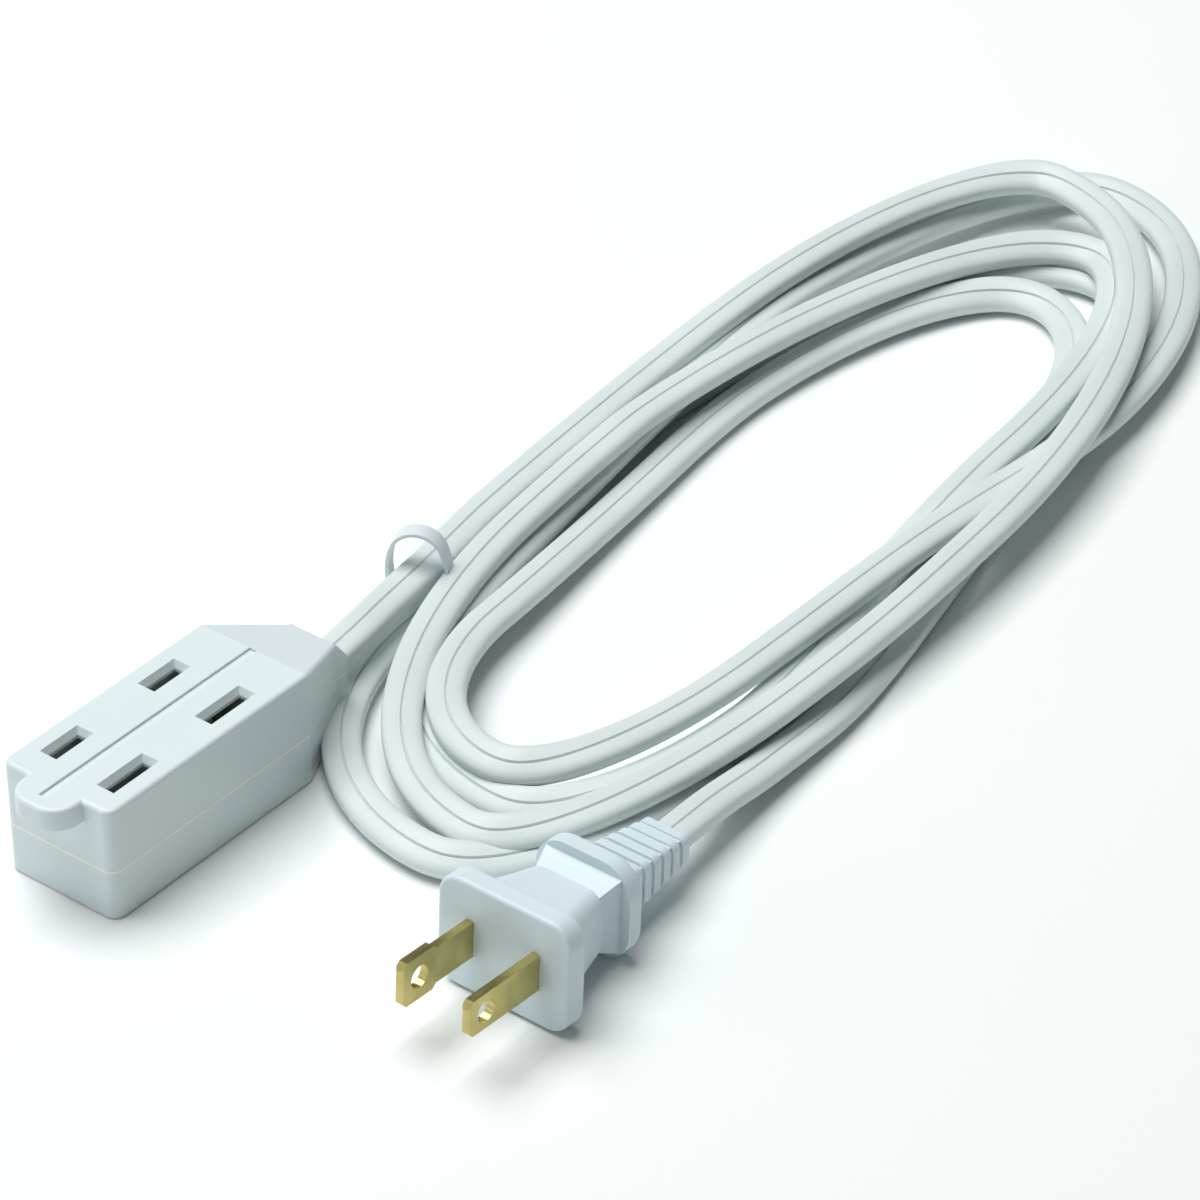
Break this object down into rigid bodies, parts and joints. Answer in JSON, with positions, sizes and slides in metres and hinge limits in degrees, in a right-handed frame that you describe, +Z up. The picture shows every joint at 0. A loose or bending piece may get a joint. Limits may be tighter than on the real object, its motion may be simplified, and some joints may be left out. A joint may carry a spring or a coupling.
{
  "type": "extension cord",
  "caption": "two-wire household extension cord: moulded socket block with polarised outlets, flat twin cord in a loose hank, moulded plug with two brass blades",
  "frame": {"origin": "bottom centre of the socket block's bounding box, on the surface it rests on", "axes": "+Z up, +Y from the block's front towards its cord exit, +X towards the block's right side, where the plug lies"},
  "size_m": [0.1001, 0.2741, 0.0205],
  "materials": {
    "housing_plastic": "semi-gloss moulded white",
    "plug_vinyl": "satin white vinyl",
    "cord_vinyl": "satin white vinyl",
    "bridge_plastic": "hard white inner moulding",
    "contact_brass": "stamped spring brass",
    "blade_brass": "plain polished brass",
    "core_copper": "bare stranded copper",
    "tie_plastic": "white ribbon"
  },
  "bodies": {
    "root": {"upper_shell": "housing_plastic", "lower_shell": "housing_plastic", "line_contact_strip": "contact_brass", "neutral_contact_strip": "contact_brass", "socket_line_core": "core_copper", "socket_neutral_core": "core_copper", "socket_cord_end": "cord_vinyl", "plug_body": "plug_vinyl", "plug_bridge": "bridge_plastic", "line_blade": "blade_brass", "neutral_blade": "blade_brass", "plug_strain_relief": "plug_vinyl", "plug_line_core": "core_copper", "plug_neutral_core": "core_copper", "plug_cord_end": "cord_vinyl", "cord_lead": "cord_vinyl", "cord_hank": "cord_vinyl", "cord_tail": "cord_vinyl", "cord_tie": "tie_plastic"}
  },
  "joints": []
}
